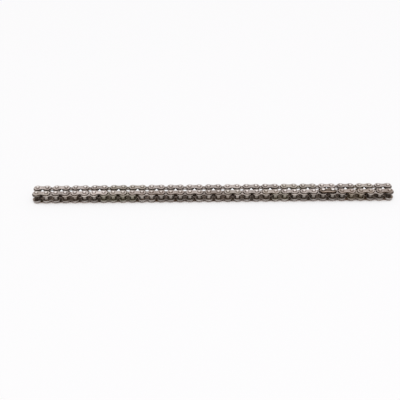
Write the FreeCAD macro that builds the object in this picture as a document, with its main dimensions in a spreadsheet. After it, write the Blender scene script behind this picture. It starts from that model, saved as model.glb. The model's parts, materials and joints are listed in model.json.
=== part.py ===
import FreeCAD, Part
import math
import os

import Sketcher

# Endless bushed drive chain, closed by a spring-clip connecting link. It lies on its side,
# pins upright, pressed flat into two straight runs that touch almost edge to edge.
# Millimetres. +X runs along the chain, -Y is the front run, +Z is up, and the lower pin
# ends stand on z = 0. The origin is under the middle of the chain.

# Driving dimensions
SIZES = {
    "pitch": 6.35,
    "bush_diameter": 3.30,
    "pin_diameter": 2.31,
    "running_clearance": 0.04,
    "inner_width": 3.18,
    "plate_thickness": 0.75,
    "side_clearance": 0.07,
    "inner_eye_gap": 0.51,
    "inner_waist_depth": 1.40,
    "outer_eye_gap": 1.45,
    "outer_waist_depth": 0.88,
    "pin_overhang": 0.64,
    "pin_chamfer": 0.20,
    "clip_thickness": 0.55,
    "clip_inset": 0.20,
    "clip_waist_depth": 0.40,
    "clip_slot": 1.20,
    "clip_lead_in": 0.35,
    "clip_clearance": 0.03,
    "groove_depth": 0.30,
    "clip_pin_head": 1.00,
}

# How many links each straight run has, and how many of them lie left of the connecting
# link in the front run
LINKS_PER_RUN = 37
LINKS_LEFT_OF_CLIP = 30

# The pins of each run, counted both ways from its middle, that are held, so that the two
# links on such a pin move as one pair
HELD_PINS = range(1, 10, 2)

# Lengths that follow from the driving ones
HALF_PITCH = "Sizes.pitch / 2"
INNER_HEIGHT = "(Sizes.pitch - Sizes.inner_eye_gap)"
OUTER_HEIGHT = "(Sizes.pitch - Sizes.outer_eye_gap)"
CLIP_HEIGHT = f"({OUTER_HEIGHT} - 2 * Sizes.clip_inset)"
PIN_RADIUS = "Sizes.pin_diameter / 2"
BUSH_RADIUS = "Sizes.bush_diameter / 2"
BUSH_BORE = f"{PIN_RADIUS} + Sizes.running_clearance"
INNER_FACE = "(Sizes.inner_width / 2 + Sizes.plate_thickness)"
OUTER_FACE = f"({INNER_FACE} + Sizes.side_clearance + Sizes.plate_thickness)"
PIN_END = f"({OUTER_FACE} + Sizes.pin_overhang)"
GROOVE_RADIUS = f"{PIN_RADIUS} - Sizes.groove_depth"
GROOVE_TOP = f"({OUTER_FACE} + Sizes.clip_thickness + Sizes.clip_clearance)"
CLIP_PIN_END = f"({GROOVE_TOP} + Sizes.clip_pin_head)"
CLIP_EYE = f"{GROOVE_RADIUS} + Sizes.clip_clearance"

# How a sketch numbers the points of a line or arc, its own axes and its origin
START, END, CENTRE = range(1, 4)
X_AXIS, Y_AXIS = range(-1, -3, -1)
ORIGIN = (X_AXIS, START)

doc = FreeCAD.newDocument("drive_chain")
sheet = doc.addObject("Spreadsheet::Sheet", "Sizes")
for row, (alias, number) in enumerate(SIZES.items(), start=1):
    sheet.set(f"A{row}", alias)
    sheet.set(f"B{row}", str(number))
    sheet.setAlias(f"B{row}", alias)
doc.recompute()


def value(expression):
    return float(sheet.evalExpression(expression))


def new_sketch(body, name, plane):
    sketch = body.newObject("Sketcher::SketchObject", name)
    for feature in body.Origin.OriginFeatures:
        if feature.Role == plane:
            sketch.AttachmentSupport = [(feature, "")]
    sketch.MapMode = "FlatFace"
    sketch.Visibility = False
    return sketch


def bind(sketch, kind, where, expression):
    index = sketch.addConstraint(Sketcher.Constraint(kind, *where, value(expression)))
    sketch.renameConstraint(index, f"size_{index}")
    sketch.setExpression(f"Constraints.size_{index}", expression)


def flat(x, y):
    return FreeCAD.Vector(x, y, 0)


def ring(x, y, radius):
    return Part.Circle(flat(x, y), FreeCAD.Vector(0, 0, 1), radius)


def closed_outline(sketch, corners):
    count = len(corners)
    for index in range(count):
        following = corners[(index + 1) % count]
        sketch.addGeometry(Part.LineSegment(flat(*corners[index]), flat(*following)))
    for index in range(count):
        join = Sketcher.Constraint("Coincident", index, END, (index + 1) % count, START)
        sketch.addConstraint(join)


def waisted_outline(sketch, height, waist_depth):
    # A figure of eight: two round ends about the pin centres, joined above and below by
    # hollow arcs that run tangent into them and leave the waist between.
    end_radius = f"{height} / 2"
    waist = f"({end_radius} - {waist_depth})"
    hollow_rise = (
        f"{waist} + (({HALF_PITCH}) ^ 2 + {waist} ^ 2 - ({end_radius}) ^ 2)"
        f" / (2 * {waist_depth})"
    )
    half = value(HALF_PITCH)
    radius = value(end_radius)
    rise = value(hollow_rise)
    hollow = rise - value(waist)
    turn = math.atan2(rise, -half)
    arcs = [
        Part.ArcOfCircle(ring(half, 0, radius), -turn, turn),
        Part.ArcOfCircle(ring(0, rise, hollow), -turn, turn - math.pi),
        Part.ArcOfCircle(ring(-half, 0, radius), math.pi - turn, math.pi + turn),
        Part.ArcOfCircle(ring(0, -rise, hollow), math.pi - turn, turn),
    ]
    right, top, left, bottom = sketch.addGeometry(arcs)
    sketch.addConstraint(
        [
            Sketcher.Constraint("Tangent", right, END, top, END),
            Sketcher.Constraint("Tangent", top, START, left, START),
            Sketcher.Constraint("Tangent", left, END, bottom, END),
            Sketcher.Constraint("Tangent", bottom, START, right, START),
            Sketcher.Constraint("PointOnObject", right, CENTRE, X_AXIS),
            Sketcher.Constraint("Symmetric", right, CENTRE, left, CENTRE, *ORIGIN),
            Sketcher.Constraint("Equal", right, left),
            Sketcher.Constraint("Equal", top, bottom),
        ]
    )
    bind(sketch, "DistanceX", (*ORIGIN, right, CENTRE), HALF_PITCH)
    bind(sketch, "Radius", (right,), end_radius)
    bind(sketch, "DistanceY", (*ORIGIN, top, CENTRE), hollow_rise)
    return right, left


def eye_holes(sketch, ends, radius):
    half = value(HALF_PITCH)
    right = sketch.addGeometry(ring(half, 0, value(radius)))
    left = sketch.addGeometry(ring(-half, 0, value(radius)))
    sketch.addConstraint(
        [
            Sketcher.Constraint("Coincident", right, CENTRE, ends[0], CENTRE),
            Sketcher.Constraint("Coincident", left, CENTRE, ends[1], CENTRE),
            Sketcher.Constraint("Equal", right, left),
        ]
    )
    bind(sketch, "Radius", (right,), radius)


def pad(body, sketch, thickness):
    feature = body.newObject("PartDesign::Pad", body.Name + "_blank")
    feature.Profile = sketch
    feature.setExpression("Length", thickness)


def eyed_plate(name, height, waist_depth, hole_radius, thickness, underside):
    body = doc.addObject("PartDesign::Body", name)
    sketch = new_sketch(body, name + "_outline", "XY_Plane")
    ends = waisted_outline(sketch, height, waist_depth)
    eye_holes(sketch, ends, hole_radius)
    pad(body, sketch, thickness)
    body.setExpression("Placement.Base.z", underside)
    return body


def bush_tube(name):
    body = doc.addObject("PartDesign::Body", name)
    sketch = new_sketch(body, name + "_section", "XY_Plane")
    for radius in (BUSH_RADIUS, BUSH_BORE):
        wall = sketch.addGeometry(ring(0, 0, value(radius)))
        sketch.addConstraint(Sketcher.Constraint("Coincident", wall, CENTRE, *ORIGIN))
        bind(sketch, "Radius", (wall,), radius)
    pad(body, sketch, f"2 * {INNER_FACE}")
    body.setExpression("Placement.Base.x", f"-{HALF_PITCH}")
    body.setExpression("Placement.Base.z", f"-{INNER_FACE}")
    return body


def turned_pin(name, section):
    # Half a lengthwise section turned about the pin's axis. Each corner says how far out
    # it lies and how high.
    body = doc.addObject("PartDesign::Body", name)
    sketch = new_sketch(body, name + "_section", "XZ_Plane")
    closed_outline(sketch, [(value(out), value(up)) for out, up in section])
    for index, (out, up) in enumerate(section):
        if value(out) == 0:
            on_axis = Sketcher.Constraint("PointOnObject", index, START, Y_AXIS)
            sketch.addConstraint(on_axis)
        else:
            bind(sketch, "DistanceX", (*ORIGIN, index, START), out)
        bind(sketch, "DistanceY", (*ORIGIN, index, START), up)
    turning = body.newObject("PartDesign::Revolution", name + "_turning")
    turning.Profile = sketch
    turning.ReferenceAxis = (sketch, ["V_Axis"])
    turning.Angle = 360
    body.setExpression("Placement.Base.x", f"-{HALF_PITCH}")
    return body


def pin_section(top, groove=()):
    shoulder = f"{PIN_RADIUS} - Sizes.pin_chamfer"
    return [
        ("0", f"-{PIN_END}"),
        (shoulder, f"-{PIN_END}"),
        (PIN_RADIUS, f"Sizes.pin_chamfer - {PIN_END}"),
        *groove,
        (PIN_RADIUS, f"{top} - Sizes.pin_chamfer"),
        (shoulder, top),
        ("0", top),
    ]


def slot_spring_clip(body):
    # Slot the clip's blank from its open right end through to the left eye, which leaves
    # two legs, and round the mouth's corners so that it snaps over the pin.
    sketch = new_sketch(body, body.Name + "_slot", "XY_Plane")
    past_the_end = f"{HALF_PITCH} + {CLIP_HEIGHT}"
    left = -value(HALF_PITCH)
    right = value(past_the_end)
    half = value("Sizes.clip_slot / 2")
    closed_outline(sketch, [(left, -half), (right, -half), (right, half), (left, half)])
    sketch.addConstraint(
        [
            Sketcher.Constraint("Horizontal", 0),
            Sketcher.Constraint("Horizontal", 2),
            Sketcher.Constraint("Vertical", 3),
            Sketcher.Constraint("Symmetric", 1, START, 1, END, X_AXIS),
        ]
    )
    bind(sketch, "DistanceX", (0, START, *ORIGIN), HALF_PITCH)
    bind(sketch, "DistanceX", (*ORIGIN, 1, START), past_the_end)
    bind(sketch, "DistanceY", (1, START, 1, END), "Sizes.clip_slot")
    slot = body.newObject("PartDesign::Pocket", body.Name + "_mouth")
    slot.Profile = sketch
    slot.Type = "ThroughAll"
    slot.SideType = "Symmetric"
    doc.recompute()

    mouth = []
    for index, edge in enumerate(slot.Shape.Edges, start=1):
        upright = edge.BoundBox.ZLength > edge.BoundBox.XLength + edge.BoundBox.YLength
        beyond_eye = edge.BoundBox.XMin > value(f"{HALF_PITCH} + {CLIP_HEIGHT} / 4")
        if upright and beyond_eye and abs(edge.BoundBox.YMin) < value("Sizes.clip_slot"):
            mouth.append(f"Edge{index}")
    lead_in = body.newObject("PartDesign::Fillet", body.Name + "_lead_in")
    lead_in.Base = (slot, mouth)
    lead_in.setExpression("Radius", "Sizes.clip_lead_in")


def mirrored(name, source, normal):
    copy = doc.addObject("Part::Mirroring", name)
    copy.Source = source
    copy.Normal = normal
    return copy


def half_of_pair(name, pieces, middle):
    half = doc.addObject("Part::Compound", name)
    half.Links = pieces
    half.setExpression("Placement.Base.x", middle)
    return half


# One of each piece, about the middle of a link
THICKNESS = "Sizes.plate_thickness"
ACROSS = FreeCAD.Vector(0, 0, 1)
ALONG = FreeCAD.Vector(1, 0, 0)
lower_outer_plate = eyed_plate(
    "lower_outer_plate",
    OUTER_HEIGHT,
    "Sizes.outer_waist_depth",
    PIN_RADIUS,
    THICKNESS,
    f"-{OUTER_FACE}",
)
lower_inner_plate = eyed_plate(
    "lower_inner_plate",
    INNER_HEIGHT,
    "Sizes.inner_waist_depth",
    BUSH_RADIUS,
    THICKNESS,
    f"-{INNER_FACE}",
)
upper_outer_plate = mirrored("upper_outer_plate", lower_outer_plate, ACROSS)
upper_inner_plate = mirrored("upper_inner_plate", lower_inner_plate, ACROSS)
bush = bush_tube("bush")
other_bush = mirrored("other_bush", bush, ALONG)
pin = turned_pin("pin", pin_section(PIN_END))
other_pin = mirrored("other_pin", pin, ALONG)
clip_groove = [
    (PIN_RADIUS, OUTER_FACE),
    (GROOVE_RADIUS, OUTER_FACE),
    (GROOVE_RADIUS, GROOVE_TOP),
    (PIN_RADIUS, GROOVE_TOP),
]
clip_pin = turned_pin("clip_pin", pin_section(CLIP_PIN_END, clip_groove))
other_clip_pin = mirrored("other_clip_pin", clip_pin, ALONG)
clip_blank = eyed_plate(
    "clip_blank",
    CLIP_HEIGHT,
    "Sizes.clip_waist_depth",
    CLIP_EYE,
    "Sizes.clip_thickness",
    OUTER_FACE,
)
slot_spring_clip(clip_blank)

outer_link = [lower_outer_plate, upper_outer_plate, pin, other_pin]
inner_link = [lower_inner_plate, upper_inner_plate, bush, other_bush]
link_pair = [
    half_of_pair("inner_half", inner_link, f"-{HALF_PITCH}"),
    half_of_pair("outer_half", outer_link, HALF_PITCH),
]


def loop_places():
    # Every link in order, counterclockwise from the connecting link: where its middle
    # lies, in pitches from the chain's middle, its heading in degrees, and whether the
    # pin that it shares with the link before it is held.
    places = []
    for heading, side in ((0, -1), (180, 1)):
        for link in range(LINKS_PER_RUN):
            pin_place = link - LINKS_PER_RUN / 2
            held = int(abs(pin_place)) in HELD_PINS
            places.append((-side * (pin_place + 0.5), side / 2, heading, held))
        places.append((-side * LINKS_PER_RUN / 2, 0, heading + 90, False))
    return places[LINKS_LEFT_OF_CLIP:] + places[:LINKS_LEFT_OF_CLIP]


nodes = []


def add_node(name, pieces, along, across, heading):
    node = doc.addObject("Part::Compound", name)
    node.Label = name
    node.Links = pieces
    turn = FreeCAD.Rotation(FreeCAD.Vector(0, 0, 1), heading)
    node.Placement = FreeCAD.Placement(FreeCAD.Vector(), turn)
    node.setExpression("Placement.Base.x", f"Sizes.pitch * {along}")
    node.setExpression("Placement.Base.y", f"Sizes.pitch * {across}")
    node.setExpression("Placement.Base.z", PIN_END)
    nodes.append(node)


places = loop_places()
connecting_link = {
    "connecting_link_back_plate": [lower_outer_plate],
    "connecting_link_pins": [clip_pin, other_clip_pin],
    "connecting_link_cover_plate": [upper_outer_plate],
    "connecting_link_spring_clip": [clip_blank],
}
for name, pieces in connecting_link.items():
    add_node(name, pieces, *places[0][:3])

link = 1
while link < len(places):
    along, across, heading, _ = places[link]
    is_inner = link % 2 == 1
    joined_to_next = link + 1 < len(places) and places[link + 1][3]
    if joined_to_next:
        next_along, next_across, _, _ = places[link + 1]
        turned = heading if is_inner else heading + 180
        middle = ((along + next_along) / 2, (across + next_across) / 2)
        add_node(f"link_pair_{link + 1:02d}_{link + 2:02d}", link_pair, *middle, turned)
        link += 2
        continue
    kind = "inner" if is_inner else "outer"
    pieces = inner_link if is_inner else outer_link
    add_node(f"{kind}_link_{link + 1:02d}", pieces, along, across, heading)
    link += 1

doc.recompute()

for obj in doc.Objects:
    if "Invalid" in obj.State or "Error" in obj.State:
        raise RuntimeError(f"{obj.Label} did not compute: {obj.State}")
mouth_cut = clip_blank.Group[1].Shape.Volume - clip_blank.Shape.Volume
if mouth_cut <= 0:
    raise RuntimeError("the spring clip has no mouth")
for node in nodes:
    if node.Shape.isNull() or not node.Shape.isValid():
        raise RuntimeError(f"{node.Label} is not a valid shape")

os.makedirs("parts", exist_ok=True)
for node in nodes:
    node.Shape.exportStep(f"parts/{node.Label}.step")
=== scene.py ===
import json
import math
import random

import bpy
from mathutils import Matrix, Vector
from mathutils.geometry import tessellate_polygon

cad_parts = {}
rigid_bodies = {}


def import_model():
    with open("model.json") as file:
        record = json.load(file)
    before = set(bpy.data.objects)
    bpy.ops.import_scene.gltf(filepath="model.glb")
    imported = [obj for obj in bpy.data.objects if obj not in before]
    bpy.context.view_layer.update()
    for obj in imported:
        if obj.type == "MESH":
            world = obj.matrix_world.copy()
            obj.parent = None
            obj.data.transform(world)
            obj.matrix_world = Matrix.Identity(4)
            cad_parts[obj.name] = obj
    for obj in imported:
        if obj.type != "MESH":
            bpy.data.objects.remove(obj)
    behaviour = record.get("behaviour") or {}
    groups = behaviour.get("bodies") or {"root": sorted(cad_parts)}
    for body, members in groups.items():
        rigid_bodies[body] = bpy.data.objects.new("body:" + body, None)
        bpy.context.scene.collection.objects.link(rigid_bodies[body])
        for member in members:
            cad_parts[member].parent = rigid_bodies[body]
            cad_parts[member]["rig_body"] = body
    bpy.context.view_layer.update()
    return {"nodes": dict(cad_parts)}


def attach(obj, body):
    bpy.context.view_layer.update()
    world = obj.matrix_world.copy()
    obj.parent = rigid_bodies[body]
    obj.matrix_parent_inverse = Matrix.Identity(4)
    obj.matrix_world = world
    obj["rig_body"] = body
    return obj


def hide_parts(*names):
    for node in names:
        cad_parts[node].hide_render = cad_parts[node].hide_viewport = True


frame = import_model()

# Lengths in millimetres, as in the chain's own drawing. The mesh code turns them to metres.
MM = 0.001
PITCH = 6.35
PIN_RADIUS = 1.155
BUSH_RADIUS = 1.65
BUSH_BORE = 1.195
PLATE = 0.75
INNER_FACE = 2.34
OUTER_FACE = 3.16
PIN_END = 3.80
CLIP_THICKNESS = 0.55
CLIP_EYE = 0.885
CLIP_SLOT = 1.20
CLIP_PIN_END = 4.74
# Radius of the groove that the clip sits in, and its lower and upper height
CLIP_PIN_GROOVE = (0.855, 3.16, 3.74)

# Half height and waist depth of each plate's figure of eight, and of the clip
INNER_OUTLINE = (2.92, 1.40)
OUTER_OUTLINE = (2.45, 0.88)
CLIP_OUTLINE = (2.25, 0.40)

# How far the edges of plates, eyes and clip are softened
PLATE_BEVEL = 0.09
EYE_BEVEL = 0.06
CLIP_BEVEL = 0.07

# Where a bevel's middle lies, as a share of its size, so that it comes out round
ROUND_SHARE = 0.29

# Depths below a pin's end: the polished top with a painted highlight, the shoulder with
# dirt and painted shade, the clip pins' top
POLISHED_HIGHLIGHT_DEPTH = 0.05
SHOULDER_DEPTH = 0.40
CLIP_PIN_TOP_DEPTH = 0.30

# Half the length of a waist, in which dirt gathers
WAIST_REACH = 2.6

LINKS_PER_RUN = 37
LINKS_LEFT_OF_CLIP = 30
LINK_COUNT = 2 * (LINKS_PER_RUN + 1)

# Material slots
FACE, EDGE, INNER, INNER_EDGE, INWARD, LOW_EDGE = range(6)
HEAD, SHOULDER, BUSH, CLIP, CLIP_EDGE = range(6, 11)


class Pile:
    """Points and their finish, faces and their material slots, gathered for one mesh.
    A finish is tone, brown, olive, and dirt with painted shade, each from 0 to 1 or a little
    more."""

    def __init__(self):
        self.points = []
        self.faces = []
        self.slots = []
        self.finish = []

    def add(self, points, faces, slots, place, finish, dirt_and_shade_at=lambda x, y: 0.0):
        first = len(self.points)
        self.points += [place @ Vector(p) for p in points]
        self.faces += [[first + i for i in face] for face in faces]
        self.slots += slots
        self.finish += [(*finish, dirt_and_shade_at(x, y)) for x, y, _ in points]


def waist_dirt_and_shade(share):
    """Dirt and painted shade in the hollows of a plate, thickest at the link's middle."""
    return lambda x, y: share * max(0.0, 1 - abs(x) / WAIST_REACH)


def upper_inner_dirt_and_shade(x, y):
    """An upper inner plate gets dirt and painted shade at its ends too, in the gap to the next
    one.
    """
    plain_reach, growth, at_ends, in_waist = 1.2, 1.5, 2.0, 0.75
    beyond_pin = abs(x) - PITCH / 2
    return max(waist_dirt_and_shade(in_waist)(x, y), min(at_ends, growth * (beyond_pin - plain_reach)))


def pin_dirt_and_shade(x, y):
    """Dirt and painted shade on a pin's end, on the sides that face along the chain."""
    reach = math.hypot(x, y)
    return max(0.0, 2 * (x / reach) ** 2 - 1) if reach else 0.0


def side_dirt_and_shade(x, y):
    """Dirt and painted shade on a bush's sides that face along the chain."""
    growth, plain_share = 2.6, 0.5
    return min(1.0, max(0.0, growth * (x / BUSH_RADIUS) ** 2 - plain_share))


def clip_darkening(x, y):
    """The clip's front leg keeps its colour within a reach of its middle and darkens towards
    its ends. Its rear leg is evenly darker."""
    plain_reach, growth, at_ends, behind = 2.0, 0.22, 0.85, 0.62
    if y < 0:
        return min(at_ends, max(0.0, growth * (abs(x) - plain_reach)))
    return behind


def outline(half_height, waist_depth, inset, end_steps=18, hollow_steps=8):
    """The plate's rim, counter-clockwise, drawn in by inset."""
    half = PITCH / 2
    waist = half_height - waist_depth
    hollow = (half**2 + waist**2 - half_height**2) / (2 * waist_depth)
    rise = waist + hollow
    turn = math.atan2(rise, -half)
    points = []
    for side in (1, -1):
        for step in range(end_steps + 1):
            a = -turn + 2 * turn * step / end_steps
            x = half + (half_height - inset) * math.cos(a)
            y = (half_height - inset) * math.sin(a)
            points.append((side * x, side * y))
        for step in range(1, hollow_steps):
            a = turn - math.pi + (math.pi - 2 * turn) * step / hollow_steps
            x = (hollow + inset) * math.cos(a)
            y = rise + (hollow + inset) * math.sin(a)
            points.append((side * x, side * y))
    return points


def circle(cx, cy, radius, steps=20):
    angles = [2 * math.pi * s / steps for s in range(steps)]
    return [(cx + radius * math.cos(a), cy + radius * math.sin(a)) for a in angles]


def wall_profile(low, high, bevel):
    """(inset, height) round a plate's edge, from the lower face to the upper one."""
    near = ROUND_SHARE * bevel
    return [
        (bevel, low),
        (near, low + near),
        (0, low + bevel),
        (0, high - bevel),
        (near, high - near),
        (bevel, high),
    ]


def plate_mesh(rim, holes, low, high, under_slot, top_slot, edge_slot, bevel=PLATE_BEVEL):
    """A plate from rim(inset) and holes(inset), with softened edges all round."""
    points, faces, slots, ends = [], [], [], []
    band_slots = [under_slot, under_slot, edge_slot, top_slot, top_slot]
    for loop_of, inward in [(rim, False)] + [(hole, True) for hole in holes]:
        profile = wall_profile(low, high, EYE_BEVEL if inward else bevel)
        rings = []
        for inset, z in profile:
            loop = loop_of(-inset if inward else inset)
            rings.append(range(len(points), len(points) + len(loop)))
            points += [(x, y, z) for x, y in loop]
        for lower, upper, band_slot in zip(rings, rings[1:], band_slots):
            n = len(lower)
            for i in range(n):
                j = (i + 1) % n
                face = [lower[i], lower[j], upper[j], upper[i]]
                faces.append(face[::-1] if inward else face)
            slots += [band_slot] * n
        ends.append((rings[0], rings[-1]))
    for which, flip, face_slot in ((0, True, under_slot), (1, False, top_slot)):
        loops = [pair[which] for pair in ends]
        flat = [i for loop in loops for i in loop]
        for tri in tessellate_polygon([[Vector(points[i]) for i in loop] for loop in loops]):
            a, b, c = (flat[i] for i in tri)
            pa, pb, pc = Vector(points[a]), Vector(points[b]), Vector(points[c])
            upwards = (pb - pa).cross(pc - pa).z > 0
            faces.append([a, b, c] if upwards != flip else [a, c, b])
        slots += [face_slot] * (len(faces) - len(slots))
    return points, faces, slots


def eyed_plate(shape, hole_radius, low, high, *slots):
    half = PITCH / 2
    holes = [
        lambda inset: circle(half, 0, hole_radius - inset),
        lambda inset: circle(-half, 0, hole_radius - inset),
    ]
    return plate_mesh(lambda inset: outline(*shape, inset), holes, low, high, *slots)


def turned(profile, slot_of, steps=24, notch=0.0):
    """A profile of (radius, height) turned about the upright axis. notch is how deep a
    fine seam is pressed in along one line, wherever the radius is the profile's largest."""
    widest = max(r for r, _ in profile)
    seam_angle = 0.05
    angles = [2 * math.pi * s / steps for s in range(steps)]
    if notch:
        angles = [0.0, seam_angle] + angles[1:] + [2 * math.pi - seam_angle]
    points, faces, slots, rings = [], [], [], []
    for r, z in profile:
        if r == 0:
            rings.append([len(points)])
            points.append((0, 0, z))
            continue
        rings.append(list(range(len(points), len(points) + len(angles))))
        for a in angles:
            cut = notch if a == 0.0 and r > 0.9 * widest else 0.0
            points.append(((r - cut) * math.cos(a), (r - cut) * math.sin(a), z))
    for band, (lower, upper) in enumerate(zip(rings, rings[1:])):
        n = max(len(lower), len(upper))
        middle = (profile[band][1] + profile[band + 1][1]) / 2
        for i in range(n):
            j = (i + 1) % n
            face = [lower[i % len(lower)], lower[j % len(lower)]]
            face += [upper[j % len(upper)], upper[i % len(upper)]]
            faces.append(list(dict.fromkeys(face)))
            slots.append(slot_of(middle))
    return points, faces, slots


def head_profile(top):
    """A peened pin end: a lip spread over the plate, a round shoulder and a shallow dish."""
    return [
        (PIN_RADIUS, top - 0.64),
        (1.24, top - 0.60),
        (1.29, top - 0.50),
        (1.27, top - 0.34),
        (1.17, top - 0.21),
        (1.02, top - 0.11),
        (0.86, top - 0.04),
        (0.66, top),
        (0.36, top - 0.02),
        (0, top - 0.05),
    ]


def pin_slot(z):
    depth = PIN_END - abs(z)
    if depth < POLISHED_HIGHLIGHT_DEPTH:
        return HEAD
    return SHOULDER if depth < SHOULDER_DEPTH else FACE


def clip_pin_slot(z):
    return HEAD if CLIP_PIN_END - z < CLIP_PIN_TOP_DEPTH else SHOULDER


def pin_mesh():
    upper = head_profile(PIN_END)
    return turned([(r, -z) for r, z in reversed(upper)] + upper, pin_slot)


def clip_pin_mesh():
    neck, low, high = CLIP_PIN_GROOVE
    lower = [(r, -z) for r, z in reversed(head_profile(PIN_END))]
    edge = 0.03
    upper = [
        (PIN_RADIUS, low - edge),
        (PIN_RADIUS - edge, low),
        (neck, low),
        (neck, high),
        (PIN_RADIUS - edge, high),
        (PIN_RADIUS, high + edge),
        (PIN_RADIUS, CLIP_PIN_END - CLIP_PIN_TOP_DEPTH),
        (1.10, CLIP_PIN_END - 0.16),
        (0.98, CLIP_PIN_END - 0.05),
        (0.84, CLIP_PIN_END),
        (0, CLIP_PIN_END),
    ]
    return turned(lower + upper, clip_pin_slot)


def bush_mesh():
    edge = 0.06
    profile = [
        (BUSH_BORE, INNER_FACE - edge),
        (BUSH_BORE, edge - INNER_FACE),
        (BUSH_BORE + edge, -INNER_FACE),
        (BUSH_RADIUS - edge, -INNER_FACE),
        (BUSH_RADIUS, edge - INNER_FACE),
        (BUSH_RADIUS, INNER_FACE - edge),
        (BUSH_RADIUS - edge, INNER_FACE),
        (BUSH_BORE + edge, INNER_FACE),
        (BUSH_BORE, INNER_FACE - edge),
    ]
    return turned(profile, lambda z: BUSH, notch=0.10)


def clip_rim(inset):
    """The clip's rim: a closed end on the left, two legs, and a slot from the open end
    on the right to the left eye, widened round the right pin's groove."""
    half = PITCH / 2
    full = outline(*CLIP_OUTLINE, inset, end_steps=24)
    slot = CLIP_SLOT / 2 + inset
    eye = CLIP_EYE + inset
    mouth_x = half + math.sqrt((CLIP_OUTLINE[0] - inset) ** 2 - slot**2)
    room = 0.25
    outer = [p for p in full if not (p[0] > half and abs(p[1]) < slot + room)]
    first = next(i for i, p in enumerate(outer) if p[0] > half and p[1] > 0)
    outer = outer[first:] + outer[:first]
    reach = math.asin(slot / eye)

    def eye_arc(cx, start, end, steps):
        angles = [start + (end - start) * s / steps for s in range(steps + 1)]
        return [(cx + eye * math.cos(a), eye * math.sin(a)) for a in angles]

    lead, lead_start, lead_end = 0.16, 0.30, 0.06
    lower_lip = [(mouth_x - lead_start, -slot - lead / 6), (mouth_x - lead_end, -slot - lead)]
    upper_lip = [(x, -y) for x, y in reversed(lower_lip)]
    lower = eye_arc(half, math.pi + reach, 2 * math.pi - reach, 12)
    upper = eye_arc(half, reach, math.pi - reach, 12)
    closed = eye_arc(-half, reach, 2 * math.pi - reach, 18)
    inside = upper + closed + lower
    return outer + lower_lip[::-1] + inside[::-1] + upper_lip[::-1]


def clip_mesh():
    top = OUTER_FACE + CLIP_THICKNESS
    return plate_mesh(clip_rim, [], OUTER_FACE, top, CLIP, CLIP, CLIP_EDGE, CLIP_BEVEL)


def plate_couple(shape, hole_radius, face, outward, edge):
    """A link's upper and lower plate, their outward faces at height face."""
    upper = eyed_plate(shape, hole_radius, face - PLATE, face, INWARD, outward, edge)
    lower = eyed_plate(shape, hole_radius, -face, PLATE - face, outward, INWARD, LOW_EDGE)
    return upper, lower


# What each kind of link is made of, and how its two plates hold dirt and painted shade, upper
# one first
PLATES = {
    "inner": plate_couple(INNER_OUTLINE, BUSH_RADIUS, INNER_FACE, INNER, INNER_EDGE),
    "outer": plate_couple(OUTER_OUTLINE, PIN_RADIUS, OUTER_FACE, FACE, EDGE),
}
# Dirt and painted shade: the cover plate's face and walls take the clip's near-black edge colour
COVER_PLATE = eyed_plate(
    OUTER_OUTLINE, PIN_RADIUS, OUTER_FACE - PLATE, OUTER_FACE, INWARD, CLIP_EDGE, CLIP_EDGE
)
ROUNDS = {"inner": bush_mesh(), "outer": pin_mesh()}
PLATE_DIRT_AND_SHADE = {
    "inner": (upper_inner_dirt_and_shade, waist_dirt_and_shade(0.4)),
    "outer": (waist_dirt_and_shade(1.0), waist_dirt_and_shade(0.85)),
}


def link_place(number):
    """Where a link's middle lies and how it is turned, by its number in the loop."""
    step = (number - 1 + LINKS_LEFT_OF_CLIP) % LINK_COUNT
    run, along = divmod(step, LINKS_PER_RUN + 1)
    side = 1 if run else -1
    x = -side * PITCH * (along - (LINKS_PER_RUN - 1) / 2)
    y = side * PITCH / 2
    heading = math.pi * run
    if along == LINKS_PER_RUN:
        x = -side * PITCH * LINKS_PER_RUN / 2
        y = 0
        heading += math.pi / 2
    return Matrix.Translation((x, y, PIN_END)) @ Matrix.Rotation(heading, 4, "Z")


# Links that the years have browned or greened more than their neighbours, by number
OLIVE = {
    4: 0.4, 5: 0.2, 11: 0.4, 12: 0.4, 17: 0.4, 18: 0.8, 19: 0.6, 34: 0.3, 35: 0.5, 36: 0.4,
    37: 0.5, 38: 0.3, 47: 0.3, 54: 0.7, 55: 0.35, 56: 0.7, 67: 0.4, 71: 0.3, 72: 0.6,
}
BROWN = {
    3: 1.0, 4: 0.7, 5: 0.8, 7: 0.7, 12: 0.4, 28: 0.3, 40: 0.4, 50: 0.5, 57: 0.4, 59: 0.7,
    61: 0.6, 63: 0.3, 65: 0.5, 66: 0.4, 70: 0.3, 71: 0.4,
}
CLIP_FINISH = (0.9, 0.1, 0)
CLIP_PIN_FINISH = (0.6, 0.15, 0)

# The back run is a little duller than the front one
BACK_RUN = range(9, 47)
BACK_TONE = 0.7
BROWN_SPREAD = 0.15

LINK_SEED = 100
CONNECTING_SEED = 7


def finish_of(number, chance):
    tone = 0.5 + 0.5 * chance.uniform(-1, 1)
    if number in BACK_RUN:
        tone *= BACK_TONE
    brown = min(1.0, BROWN.get(number, 0.0) + BROWN_SPREAD * chance.random())
    olive = OLIVE.get(number, 0.0)
    return tone, brown, olive


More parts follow.
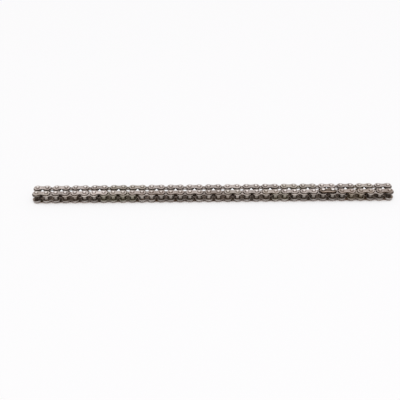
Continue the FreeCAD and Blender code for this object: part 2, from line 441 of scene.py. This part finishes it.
def add_link(pile, number):
    kind = "inner" if number % 2 == 0 else "outer"
    place = link_place(number)
    chance = random.Random(LINK_SEED + number)
    for plate, dirt_and_shade_at in zip(PLATES[kind], PLATE_DIRT_AND_SHADE[kind]):
        pile.add(*plate, place, finish_of(number, chance), dirt_and_shade_at)
    for side in (-1, 1):
        to_eye = place @ Matrix.Translation((side * PITCH / 2, 0, 0))
        if kind == "outer":
            # Pins are never as dull as the dullest plates
            tone, brown, olive = finish_of(number, chance)
            pile.add(*ROUNDS[kind], to_eye, (0.5 + 0.5 * tone, brown, olive), pin_dirt_and_shade)
        else:
            # Each bush's seam faces its own way, and its dirt and painted shade stay on the
            # sides along the chain
            angle = chance.uniform(0, 2 * math.pi)
            spin = Matrix.Rotation(angle, 4, "Z")

            def dirt_and_shade_at(x, y):
                return side_dirt_and_shade(x * math.cos(angle) - y * math.sin(angle), y)

            pile.add(*ROUNDS[kind], to_eye @ spin, finish_of(number, chance), dirt_and_shade_at)


# Materials


def node(tree, kind, **settings):
    made = tree.nodes.new(kind)
    for key, setting in settings.items():
        setattr(made, key, setting)
    return made


def ramp(tree, source, stops):
    made = node(tree, "ShaderNodeValToRGB")
    first, *others = stops
    made.color_ramp.elements[0].position = first[0]
    made.color_ramp.elements[0].color = first[1]
    last = others[-1]
    made.color_ramp.elements[1].position = last[0]
    made.color_ramp.elements[1].color = last[1]
    for position, color in others[:-1]:
        made.color_ramp.elements.new(position).color = color
    tree.links.new(source, made.inputs["Fac"])
    return made.outputs["Color"]


def mix(tree, factor, a, b, blend="MIX"):
    made = node(tree, "ShaderNodeMix", data_type="RGBA", blend_type=blend)
    for socket, what in ((made.inputs[0], factor), (made.inputs[6], a), (made.inputs[7], b)):
        if isinstance(what, bpy.types.NodeSocket):
            tree.links.new(what, socket)
        else:
            socket.default_value = what
    return made.outputs[2]


def maths(tree, a, b, operation="MULTIPLY"):
    made = node(tree, "ShaderNodeMath", operation=operation, use_clamp=True)
    for socket, what in zip(made.inputs, (a, b)):
        if isinstance(what, bpy.types.NodeSocket):
            tree.links.new(what, socket)
        else:
            socket.default_value = what
    return made.outputs[0]


def grey(value):
    return (value, value, value, 1)


TINT_SHARE = 0.45
BROWN_STEEL = (0.18, 0.112, 0.065, 1)
OLIVE_STEEL = (0.25, 0.24, 0.14, 1)
# Dark soil colours, which stand for oily dirt and for painted shade in corners and hollows
SHADED_SOIL = (0.028, 0.016, 0.009, 1)
BROWN_SHADED_SOIL = (0.085, 0.034, 0.005, 1)
OLIVE_SHADED_SOIL = (0.056, 0.045, 0.006, 1)


def steel(name, bright, dark, roughness, grime_and_shade, reach, closed=0.25, hollow=0.0):
    """Worn, lightly oiled steel: bright is the clean colour, dark the worn one. The grime
    setting is how strongly the colour turns to soil, as dirt and painted shade, within
    reach metres of other surfaces, full where the surface is no more open than closed.
    hollow is how strongly the finish's dirt and painted shade shows."""
    material = bpy.data.materials.new(name)
    material.use_nodes = True
    tree = material.node_tree
    shader = tree.nodes["Principled BSDF"]
    shader.inputs["Metallic"].default_value = 1.0
    place = node(tree, "ShaderNodeTexCoord").outputs["Object"]

    blotch = node(tree, "ShaderNodeTexNoise")
    blotch.inputs["Scale"].default_value = 420
    blotch.inputs["Detail"].default_value = 5
    blotch.inputs["Roughness"].default_value = 0.6
    fine = node(tree, "ShaderNodeTexNoise")
    fine.inputs["Scale"].default_value = 3600
    fine.inputs["Detail"].default_value = 3
    for texture in (blotch, fine):
        tree.links.new(place, texture.inputs["Vector"])

    finish = node(tree, "ShaderNodeAttribute", attribute_name="finish")
    parts = node(tree, "ShaderNodeSeparateColor")
    tree.links.new(finish.outputs["Color"], parts.inputs[0])
    tone, brown, olive = (parts.outputs[i] for i in range(3))

    worn = ramp(tree, blotch.outputs["Fac"], [(0.32, (*dark, 1)), (0.62, (*bright, 1))])
    toned = ramp(tree, tone, [(0, grey(0.62)), (1, grey(1.0))])
    shade = mix(tree, 1.0, worn, toned, "MULTIPLY")
    browned = mix(tree, maths(tree, brown, TINT_SHARE), shade, BROWN_STEEL)
    greened = mix(tree, maths(tree, olive, TINT_SHARE), browned, OLIVE_STEEL)
    speckle = ramp(tree, fine.outputs["Fac"], [(0.3, grey(0.8)), (0.55, grey(1.0))])
    flecked = mix(tree, 0.6, greened, mix(tree, 1.0, greened, speckle, "MULTIPLY"))

    # Painted shade with some oily dirt: the colour darkens towards soil near other surfaces
    hidden = node(tree, "ShaderNodeAmbientOcclusion", samples=8)
    hidden.inputs["Distance"].default_value = reach
    open_air = ramp(tree, hidden.outputs["AO"], [(closed, grey(0.0)), (0.85, grey(1.0))])
    corner_dirt_and_shade = maths(tree, maths(tree, 1.0, open_air, "SUBTRACT"), grime_and_shade)
    hollow_dirt_and_shade = maths(tree, finish.outputs["Alpha"], hollow)
    dirt_and_shade = maths(tree, corner_dirt_and_shade, hollow_dirt_and_shade, "MAXIMUM")
    brown_shaded_soil = mix(tree, brown, SHADED_SOIL, BROWN_SHADED_SOIL)
    shaded_soil = mix(tree, maths(tree, olive, 0.8), brown_shaded_soil, OLIVE_SHADED_SOIL)
    colour = mix(tree, dirt_and_shade, flecked, shaded_soil)
    tree.links.new(colour, shader.inputs["Base Color"])

    rough_stops = [(0.3, grey(roughness + 0.14)), (0.7, grey(roughness - 0.06))]
    rough = ramp(tree, blotch.outputs["Fac"], rough_stops)
    dulled = mix(tree, dirt_and_shade, rough, grey(0.75))
    tree.links.new(dulled, shader.inputs["Roughness"])

    bump = node(tree, "ShaderNodeBump")
    bump.inputs["Strength"].default_value = 0.25
    bump.inputs["Distance"].default_value = 0.00003
    tree.links.new(fine.outputs["Fac"], bump.inputs["Height"])
    tree.links.new(bump.outputs["Normal"], shader.inputs["Normal"])
    return material


# Reaches are in metres
MATERIALS = {
    FACE: steel(
        "plate_face",
        bright=(0.76, 0.68, 0.64),
        dark=(0.48, 0.41, 0.37),
        roughness=0.36,
        grime_and_shade=0.08,
        reach=0.0004,
    ),
    # Painted shade: the upper outer plates' walls are coloured far darker than their faces
    EDGE: steel(
        "shaded_plate_edge",
        bright=(0.36, 0.295, 0.245),
        dark=(0.17, 0.135, 0.108),
        roughness=0.42,
        grime_and_shade=0.90,
        reach=0.002,
        hollow=0.95,
    ),
    # Dirt and painted shade: the inner faces darken strongly where the outer plates close round
    # them
    INNER: steel(
        "inner_face",
        bright=(0.84, 0.755, 0.71),
        dark=(0.56, 0.48, 0.435),
        roughness=0.36,
        grime_and_shade=0.97,
        reach=0.0014,
        closed=0.70,
    ),
    INNER_EDGE: steel(
        "inner_edge",
        bright=(0.74, 0.665, 0.60),
        dark=(0.45, 0.39, 0.345),
        roughness=0.36,
        grime_and_shade=0.90,
        reach=0.0012,
        hollow=0.4,
    ),
    # Dirt and painted shade: the plates' faces inside the chain are coloured far darker than
    # outward ones
    INWARD: steel(
        "shaded_inward_face",
        bright=(0.46, 0.37, 0.305),
        dark=(0.26, 0.20, 0.16),
        roughness=0.46,
        grime_and_shade=0.95,
        reach=0.003,
        hollow=0.95,
    ),
    LOW_EDGE: steel(
        "low_edge",
        bright=(0.60, 0.57, 0.55),
        dark=(0.35, 0.33, 0.315),
        roughness=0.38,
        grime_and_shade=0.60,
        reach=0.001,
        hollow=1.4,
    ),
    # Painted highlight with some real polish: the pin tops are coloured brighter than any steel
    HEAD: steel(
        "pin_head_highlight",
        bright=(1.0, 0.94, 0.90),
        dark=(0.93, 0.86, 0.82),
        roughness=0.20,
        grime_and_shade=0.10,
        reach=0.0004,
    ),
    # Dirt and painted shade: the pin ends' shoulders are coloured dark
    SHOULDER: steel(
        "shaded_pin_shoulder",
        bright=(0.33, 0.28, 0.25),
        dark=(0.20, 0.165, 0.14),
        roughness=0.42,
        grime_and_shade=0.60,
        reach=0.0008,
        hollow=0.9,
    ),
    BUSH: steel(
        "bush",
        bright=(0.50, 0.455, 0.415),
        dark=(0.31, 0.275, 0.245),
        roughness=0.34,
        grime_and_shade=0.95,
        reach=0.002,
        hollow=0.85,
    ),
    CLIP: steel(
        "clip_face",
        bright=(0.86, 0.71, 0.60),
        dark=(0.58, 0.46, 0.375),
        roughness=0.34,
        grime_and_shade=0.40,
        reach=0.0004,
        hollow=0.95,
    ),
    # Dirt and painted shade: the clip's walls and the cover plate under it are coloured near
    # black
    CLIP_EDGE: steel(
        "shaded_clip_edge",
        bright=(0.075, 0.045, 0.03),
        dark=(0.04, 0.024, 0.016),
        roughness=0.40,
        grime_and_shade=0.95,
        reach=0.001,
    ),
}


def make_piece(node_name, body, pile):
    """One visual object for one CAD node, riding the node's body."""
    mesh = bpy.data.meshes.new("visual_" + node_name)
    mesh.from_pydata([p * MM for p in pile.points], [], pile.faces)
    used = sorted(set(pile.slots))
    for index in used:
        mesh.materials.append(MATERIALS[index])
    mesh.polygons.foreach_set("material_index", [used.index(s) for s in pile.slots])
    mesh.polygons.foreach_set("use_smooth", [True] * len(mesh.polygons))
    colours = mesh.color_attributes.new("finish", "FLOAT_COLOR", "POINT")
    colours.data.foreach_set("color", [c for finish in pile.finish for c in finish])
    mesh.update()
    piece = bpy.data.objects.new("visual_" + node_name, mesh)
    bpy.context.scene.collection.objects.link(piece)
    weighted = piece.modifiers.new("even_faces", "WEIGHTED_NORMAL")
    weighted.weight = 100
    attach(piece, body)
    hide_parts(node_name)


def connecting_piece(part, chance):
    """One of the connecting link's four parts, as a pile of its own."""
    pile = Pile()
    place = link_place(1)
    if part == "pins":
        for side in (-1, 1):
            to_eye = place @ Matrix.Translation((side * PITCH / 2, 0, 0))
            pile.add(*clip_pin_mesh(), to_eye, CLIP_PIN_FINISH, pin_dirt_and_shade)
    elif part == "spring_clip":
        pile.add(*clip_mesh(), place, CLIP_FINISH, clip_darkening)
    else:
        plate = COVER_PLATE if part == "cover_plate" else PLATES["outer"][1]
        pile.add(*plate, place, finish_of(1, chance), waist_dirt_and_shade(1.0))
    return pile


CONNECTING = "connecting_link_"
for node_name, cad in sorted(frame["nodes"].items()):
    body = cad["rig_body"]
    if node_name.startswith(CONNECTING):
        part = node_name[len(CONNECTING):]
        pile = connecting_piece(part, random.Random(CONNECTING_SEED))
    else:
        pile = Pile()
        for word in node_name.split("_"):
            if word.isdigit():
                add_link(pile, int(word))
    make_piece(node_name, body, pile)

# Floor, light and camera


def seen_rays(tree):
    """1 for rays that see a surface or the sky directly, or by gloss or glass."""
    path = node(tree, "ShaderNodeLightPath")
    either = maths(tree, path.outputs["Is Camera Ray"], path.outputs["Is Glossy Ray"], "MAXIMUM")
    return maths(tree, either, path.outputs["Is Transmission Ray"], "MAXIMUM")


def plain_floor():
    mesh = bpy.data.meshes.new("floor")
    # Off centre, so that the seam between the floor's two triangles isn't under the chain
    near, far = 5.0, 7.0
    corners = [(-near, -far, 0), (far, -far, 0), (far, near, 0), (-near, near, 0)]
    mesh.from_pydata(corners, [], [(0, 1, 2, 3)])
    floor = bpy.data.objects.new("floor", mesh)
    bpy.context.scene.collection.objects.link(floor)
    material = bpy.data.materials.new("pale_floor")
    material.use_nodes = True
    tree = material.node_tree
    shader = tree.nodes["Principled BSDF"]
    shader.inputs["Roughness"].default_value = 0.9
    shader.inputs["Specular IOR Level"].default_value = 0.1
    white = node(tree, "ShaderNodeEmission")
    open_floor = node(tree, "ShaderNodeAmbientOcclusion", samples=16)
    open_floor.inputs["Distance"].default_value = 0.018
    # Painted shadow, tinted warm as painted light thrown back by the steel, where the chain
    # closes the floor in; white in the open
    painted_floor_shadow = [
        (0.0, (0.55, 0.40, 0.32, 1)),
        (0.34, (0.95, 0.86, 0.82, 1)),
        (0.46, (0.975, 0.97, 0.98, 1)),
        (0.95, (0.985, 0.98, 0.99, 1)),
    ]
    floor_shadow_paint = ramp(tree, open_floor.outputs["AO"], painted_floor_shadow)
    tree.links.new(mix(tree, 1.0, floor_shadow_paint, grey(0.93), "MULTIPLY"), shader.inputs["Base Color"])
    tree.links.new(floor_shadow_paint, white.inputs["Color"])
    share = node(tree, "ShaderNodeMapRange", interpolation_type="SMOOTHSTEP")
    share.inputs["From Min"].default_value = 0.32
    share.inputs["From Max"].default_value = 0.78
    share.inputs["To Max"].default_value = 0.8
    tree.links.new(open_floor.outputs["AO"], share.inputs["Value"])
    seen_share = maths(tree, seen_rays(tree), share.outputs[0])
    both = node(tree, "ShaderNodeMixShader")
    tree.links.new(seen_share, both.inputs[0])
    tree.links.new(shader.outputs[0], both.inputs[1])
    tree.links.new(white.outputs[0], both.inputs[2])
    tree.links.new(both.outputs[0], tree.nodes["Material Output"].inputs["Surface"])
    mesh.materials.append(material)


def soft_world():
    world = bpy.data.worlds.new("studio")
    bpy.context.scene.world = world
    world.use_nodes = True
    tree = world.node_tree
    tree.nodes.clear()
    out = node(tree, "ShaderNodeOutputWorld")
    seen = node(tree, "ShaderNodeBackground")
    seen.inputs["Color"].default_value = (1.0, 0.99, 1.0, 1)
    seen.inputs["Strength"].default_value = 1.0
    light = node(tree, "ShaderNodeBackground")
    light.inputs["Color"].default_value = (1.0, 0.99, 0.98, 1)
    light.inputs["Strength"].default_value = 0.85
    both = node(tree, "ShaderNodeMixShader")
    tree.links.new(seen_rays(tree), both.inputs[0])
    tree.links.new(light.outputs[0], both.inputs[1])
    tree.links.new(seen.outputs[0], both.inputs[2])
    tree.links.new(both.outputs[0], out.inputs["Surface"])


def soft_lamp(name, place, target, size, power):
    data = bpy.data.lights.new(name, "AREA")
    data.shape = "RECTANGLE"
    data.size, data.size_y = size
    data.energy = power
    lamp = bpy.data.objects.new(name, data)
    bpy.context.scene.collection.objects.link(lamp)
    lamp.location = place
    aim = Vector(target) - Vector(place)
    lamp.rotation_euler = aim.to_track_quat("-Z", "Y").to_euler()


def photo_camera():
    """The photograph's view: angles in degrees, places in millimetres, focal length in
    pixels of the frame."""
    azimuth, elevation, roll = map(math.radians, (-1.261, 35.0, 0.262))
    distance, target_x, target_y = 535.4, -9.07, -2.85
    focal, frame_width = 799.3, 400
    forward = Vector(
        (
            -math.sin(azimuth) * math.cos(elevation),
            math.cos(azimuth) * math.cos(elevation),
            -math.sin(elevation),
        )
    )
    right = forward.cross(Vector((0, 0, 1))).normalized()
    up = right.cross(forward)
    tilted_right = right * math.cos(roll) + up * math.sin(roll)
    tilted_up = up * math.cos(roll) - right * math.sin(roll)
    eye = (Vector((target_x, target_y, 0)) - forward * distance) * MM
    data = bpy.data.cameras.new("camera")
    data.sensor_width = 36
    data.lens = focal / frame_width * data.sensor_width
    camera = bpy.data.objects.new("camera", data)
    bpy.context.scene.collection.objects.link(camera)
    turn = Matrix((tilted_right, tilted_up, -forward)).transposed().to_4x4()
    camera.matrix_world = Matrix.Translation(eye) @ turn
    bpy.context.scene.camera = camera


plain_floor()
soft_world()
soft_lamp("key", place=(0.10, -0.35, 0.95), target=(0, 0, 0), size=(0.9, 0.6), power=2.5)
photo_camera()
bpy.context.scene.view_settings.view_transform = "Standard"
